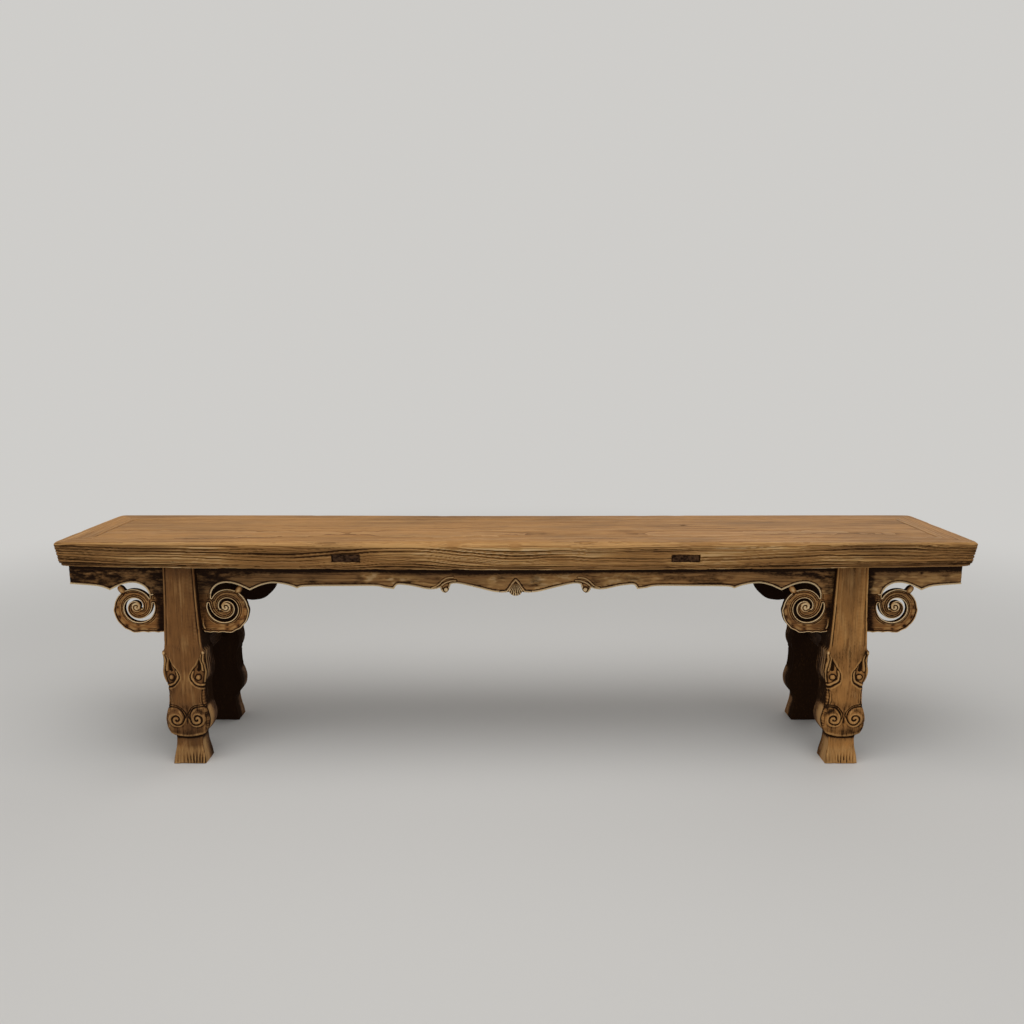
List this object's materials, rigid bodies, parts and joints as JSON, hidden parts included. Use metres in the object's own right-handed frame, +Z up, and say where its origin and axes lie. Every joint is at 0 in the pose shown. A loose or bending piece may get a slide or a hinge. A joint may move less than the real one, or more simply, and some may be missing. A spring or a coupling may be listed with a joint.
{
  "type": "altar bench",
  "caption": "Low recessed-leg altar bench: mitred frame-and-panel top on forked, carved legs, with shaped aprons and pierced scroll spandrels at the front",
  "frame": {"origin": "on the floor, under the middle of the top", "axes": "+X along the length, to the right seen from the front; +Y from the front to the back; +Z up"},
  "size_m": [2.1, 0.352, 0.545],
  "materials": {
    "elm_top": "worn waxed elm, golden brown, open weathered grain",
    "elm_leg": "worn waxed elm, mid brown, carved",
    "elm_apron": "worn elm with dark old residue in the hollows",
    "elm_scroll": "worn carved elm, pale on the beads and dark in the hollows",
    "elm_inside": "dry unfinished elm, dark brown",
    "elm_peg": "dark end grain"
  },
  "bodies": {
    "root": {"top_front_stile": "elm_top", "top_back_stile": "elm_top", "top_left_end_rail": "elm_top", "top_right_end_rail": "elm_top", "top_panel": "elm_top", "left_batten": "elm_inside", "right_batten": "elm_inside", "front_apron": "elm_apron", "back_apron": "elm_apron", "left_end_apron": "elm_inside", "right_end_apron": "elm_inside", "front_left_outer_spandrel": "elm_scroll", "front_left_inner_spandrel": "elm_scroll", "front_right_outer_spandrel": "elm_scroll", "front_right_inner_spandrel": "elm_scroll", "back_left_outer_spandrel": "elm_scroll", "back_left_inner_spandrel": "elm_scroll", "back_right_outer_spandrel": "elm_scroll", "back_right_inner_spandrel": "elm_scroll", "front_left_leg": "elm_leg", "front_right_leg": "elm_leg", "back_left_leg": "elm_leg", "back_right_leg": "elm_leg", "front_left_leg_peg": "elm_peg", "front_right_leg_peg": "elm_peg", "back_left_leg_peg": "elm_peg", "back_right_leg_peg": "elm_peg", "left_side_stretcher": "elm_inside", "right_side_stretcher": "elm_inside"}
  },
  "joints": []
}
